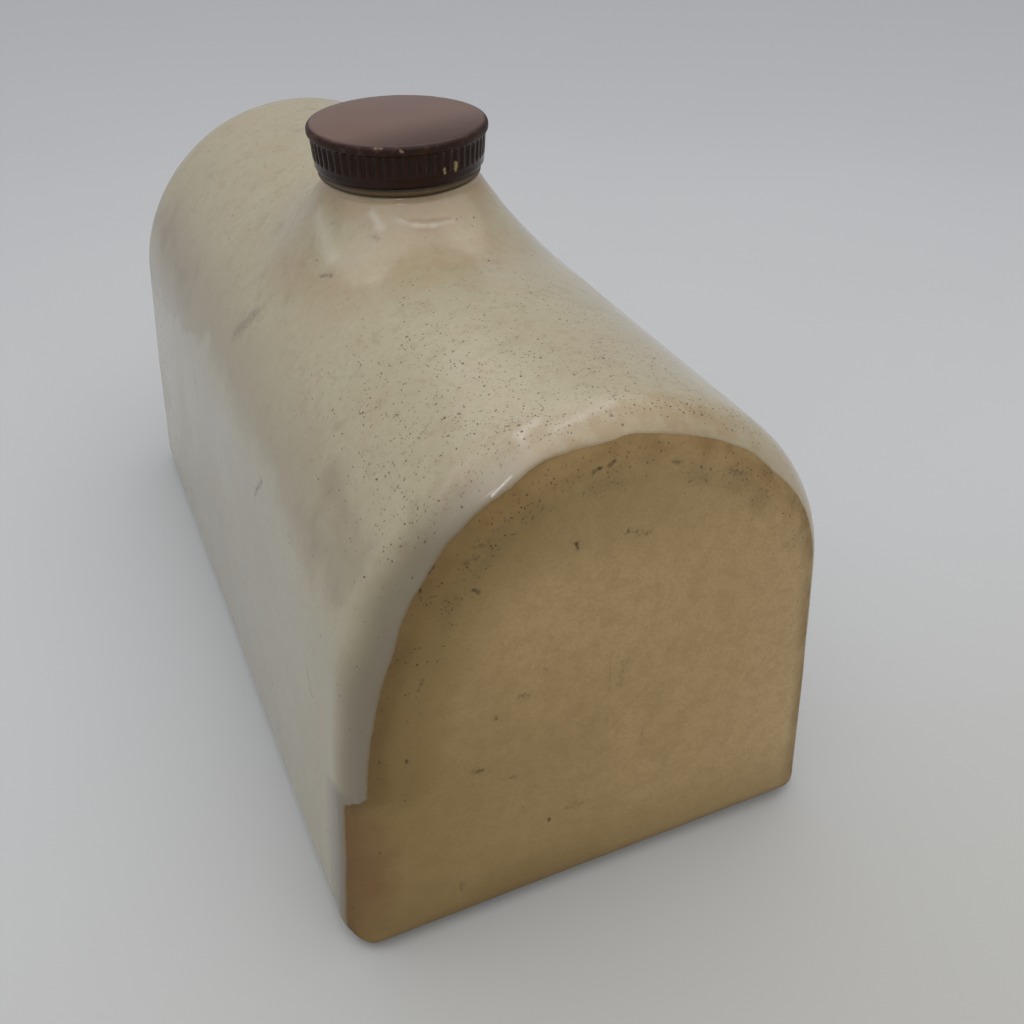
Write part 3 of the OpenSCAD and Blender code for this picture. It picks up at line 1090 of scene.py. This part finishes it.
def stoneware():
    """Cream glaze over tan clay, with the clay bare where the glaze attribute is below zero."""
    paint = Paint("cream_glaze_on_clay")
    layer = paint.node("Attribute")
    layer.attribute_name = "glaze"
    glaze = layer.outputs["Fac"]
    cream = glaze_colour(paint, glaze)
    cream.stain((80, 64, 44), 0.85, glaze_specks(paint, glaze))
    clay = clay_colour(paint, glaze)
    clay.stain((56, 42, 27), 0.85, clay_pits(paint, glaze))
    edge = paint.add(glaze, paint.swing(0.5, 1.6))
    glazed = paint.span(edge, -0.12, 0.12)
    thin = paint.band(edge, -0.3, 0, 0.1, 0.7)
    body = Coat(paint, glazed, clay.tone, cream.tone)
    body.stain((118, 92, 62), 0.3, thin)
    pucker = paint.times(paint.noise(13, 2), 0.16)
    for start, end, width, _ in RUNS_AND_HIGHLIGHTS:
        pucker = paint.add(pucker, paint.times(paint.streak(start, end, width, RUN_FRAY), 0.3))
    grain = paint.add(
        paint.times(paint.noise(0.8, 2, 0.7), 0.12),
        paint.times(paint.noise(4, 3, 0.6), 0.2),
    )
    paint.bump(paint.mix(glazed, grain, pucker), 0.6, 0.8)
    worn = paint.span(paint.noise(20, 4, 0.6), 0.3, 0.7, 0.13, 0.22)
    return paint.surface(
        Base_Color=body.tone,
        Roughness=paint.mix(glazed, (0.85, 0.85, 0.85, 1), worn),
        IOR=1.5,
    )


def brown_glaze():
    """Chocolate-brown gloss glaze: paler on the top, partly wear and partly a painted sheen that darkens
    as painted shade at the front, chipped on the rim, with painted shade in the grooves between the
    ribs.
    """
    paint = Paint("brown_glaze")
    flat = paint.vector("SUBTRACT", paint.place, (0, NECK_Y, 0))
    reach = paint.vector("LENGTH", paint.vector("MULTIPLY", flat, (1, 1, 0)))
    top = paint.times(
        paint.span(paint.z, DISC_Z + DISC_T - 0.5, DISC_Z + DISC_T - 0.1),
        paint.fall(reach, DISC_R - 1.6, DISC_R - 0.6),
    )
    side = paint.mix(paint.noise(9, 4), srgb(34, 17, 12), srgb(47, 25, 18))
    # the top is paler: partly wear, partly a painted sheen of the overhead light
    top_wear_and_sheen = Coat(paint, paint.noise(11, 4, 0.55), srgb(105, 81, 72), srgb(111, 88, 77))
    # painted shade: the sheen on the top darkens towards the front
    front = paint.span(paint.vector("DOT_PRODUCT", flat, (0.2, -0.98, 0)), 2, 25)
    top_wear_and_sheen.stain((66, 45, 38), 0.9, front)
    body = Coat(paint, top, side, top_wear_and_sheen.tone)
    flecks = paint.spots(1.6, 0.26, 0.1)
    body.stain((58, 38, 32), 0.4, flecks)
    rim = paint.times(paint.span(reach, 25, 26.2), paint.span(paint.z, DISC_Z - 0.1, DISC_Z + 0.5))
    worn = paint.span(paint.noise(3, 4, 0.65), 0.45, 0.7)
    body.stain((104, 72, 60), 0.35, rim, worn)
    # painted shade in the grooves between the ribs, under the disc
    draft = paint.times(paint.math("SUBTRACT", paint.z, DISC_Z), GRIP_DRAFT)
    depth = paint.math("SUBTRACT", paint.math("SUBTRACT", reach, GRIP_R), draft)
    below = paint.fall(paint.z, DISC_Z - 0.4, DISC_Z)
    groove = paint.times(paint.fall(depth, -0.6, -0.05), below)
    body.stain((24, 16, 13), 0.5, groove)
    body.marks((164, 136, 120), RIM_CHIPS)
    body.marks((186, 166, 118), RIB_CHIPS)
    paint.bump(paint.add(paint.noise(7, 2), paint.times(paint.noise(1.4, 3), 0.1)), 0.12, 0.5)
    gloss = paint.span(paint.noise(6, 3), 0.3, 0.7, 0.14, 0.22)
    return paint.surface(
        Base_Color=body.tone,
        Roughness=paint.add(gloss, paint.times(rim, 0.3)),
        Specular_IOR_Level=0.2,
        IOR=1.52,
    )


def seal_rubber():
    """Aged dark brown rubber with a painted highlight along its middle, fine cracks and a chalky bloom.
    """
    paint = Paint("seal_rubber")
    body = Coat(paint, paint.noise(6, 4), srgb(44, 32, 20), srgb(58, 43, 27))
    # painted highlight: a lit tan line round the middle of the ring
    off = paint.math("ABSOLUTE", paint.math("SUBTRACT", paint.z, RIM_Z + 0.45 * SEAL_T))
    body.stain((112, 90, 57), 0.6, paint.fall(off, 0.1, 0.8))
    bloom = paint.span(paint.noise(1.8, 4, 0.7), 0.5, 0.75)
    body.stain((128, 112, 82), 0.22, bloom)
    paint.bump(paint.noise(1.2, 4, 0.7), 0.5, 0.3)
    return paint.surface(Base_Color=body.tone, Roughness=paint.span(bloom, 0, 1, 0.55, 0.8))


def backdrop_paper():
    """Pale matt paper of the light tent, with painted shade that darkens it towards the back and,
    slightly warm, towards the front.
    """
    paint = Paint("backdrop_paper")
    paper = Coat(paint, paint.noise(400, 2), srgb(181, 184, 187), srgb(189, 192, 195))
    # painted shade: the paper darkens with distance
    reach = paint.vector("LENGTH", paint.vector("MULTIPLY", paint.place, (1, 1, 0)))
    far = paint.span(reach, 200, 1300)
    paper.stain((171, 174, 179), 1, far)
    # painted shade, slightly warm, towards the front
    near = paint.fall(paint.y, -320, 10)
    paper.stain((171, 171, 166), 0.9, near)
    return paint.surface(Base_Color=paper.tone, Roughness=0.9)


# Stage

def build_backdrop(material):
    """A round floor that sweeps up into a wall, which is highest behind the bottle."""
    turns = full_turn(SWEEP_STEPS[0])
    top = SWEEP_TOP[0] + (SWEEP_TOP[1] - SWEEP_TOP[0]) * smooth(np.sin(turns), -0.3, 0.5)
    rings = []
    for share in np.linspace(0.0, 1.0, SWEEP_STEPS[1]):
        z = top * share**2
        rise = np.minimum(z, SWEEP_R)
        radius = FLOOR_R + np.sqrt(SWEEP_R**2 - (SWEEP_R - rise) ** 2)
        rings.append(np.stack([radius * np.cos(turns), radius * np.sin(turns), z], 1))
    skin = Skin()
    ring = skin.add(rings[0])
    skin.fan(ring, (0.0, 0.0, 0.0))
    for points in rings[1:]:
        ring = skin.grow(ring, points)
    made = make_object("backdrop", np.concatenate(skin.points), skin.faces, material)


def add_lamp(name, place, aim, size, power):
    """A square soft box at place, in mm, aimed at a point."""
    lamp = bpy.data.lights.new(name, "AREA")
    lamp.shape = "SQUARE"
    lamp.size = size * MM
    lamp.energy = power
    made = link(name, lamp)
    made.location = Vector(place) * MM
    made.rotation_euler = (Vector(aim) - Vector(place)).to_track_quat("-Z", "Y").to_euler()


def glow(sky, towards, levels):
    """Light that rises smoothly towards one direction, as a node socket."""
    direction = sky.node("TexCoord").outputs["Generated"]
    facing = sky.vector("DOT_PRODUCT", direction, Vector(towards).normalized())
    return sky.span(facing, *levels)


def light_scene():
    """A pale tent that is brightest overhead, a soft fill in front, and two small lamps for glints."""
    world = bpy.data.worlds.new("tent")
    world.use_nodes = True
    sky = Nodes(world.node_tree)
    light = sky.add(glow(sky, TENT_TOP, TENT_LEVELS), glow(sky, FILL_FRONT, FILL_LEVELS))
    shade = sky.tree.nodes["Background"]
    sky.feed(shade.inputs["Color"], srgb(241, 239, 238))
    sky.feed(shade.inputs["Strength"], light)
    bpy.context.scene.world = world
    add_lamp("spark", *SPARK)
    add_lamp("glint", *GLINT)


def place_camera():
    """The camera at the photograph's viewing angle."""
    back = Vector((
        math.sin(VIEW_AZIMUTH) * math.cos(VIEW_ELEVATION),
        -math.cos(VIEW_AZIMUTH) * math.cos(VIEW_ELEVATION),
        math.sin(VIEW_ELEVATION),
    ))
    level = Vector((0, 0, 1)).cross(back).normalized()
    upward = back.cross(level)
    right = math.cos(VIEW_ROLL) * level + math.sin(VIEW_ROLL) * upward
    up = math.cos(VIEW_ROLL) * upward - math.sin(VIEW_ROLL) * level
    lens = bpy.data.cameras.new("camera")
    lens.sensor_width = SENSOR_MM
    lens.lens = FOCAL_PIXELS / IMAGE_PIXELS * SENSOR_MM
    lens.clip_start = 0.01
    camera = link("camera", lens)
    place = (VIEW_TARGET + back * VIEW_DISTANCE) * MM
    turn = Matrix((right, up, back)).transposed().to_4x4()
    camera.matrix_world = Matrix.Translation(place) @ turn
    bpy.context.scene.camera = camera


def dress(piece, body):
    """Lets a piece stand for the CAD node of the body that it rides on."""
    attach(piece, body)
    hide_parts(body)


dress(build_bottle(stoneware()), "bottle")
dress(build_stopper(brown_glaze()), "stopper")
dress(build_seal(seal_rubber()), "seal_ring")
build_backdrop(backdrop_paper())
light_scene()
place_camera()
bpy.context.scene.view_settings.view_transform = "Standard"
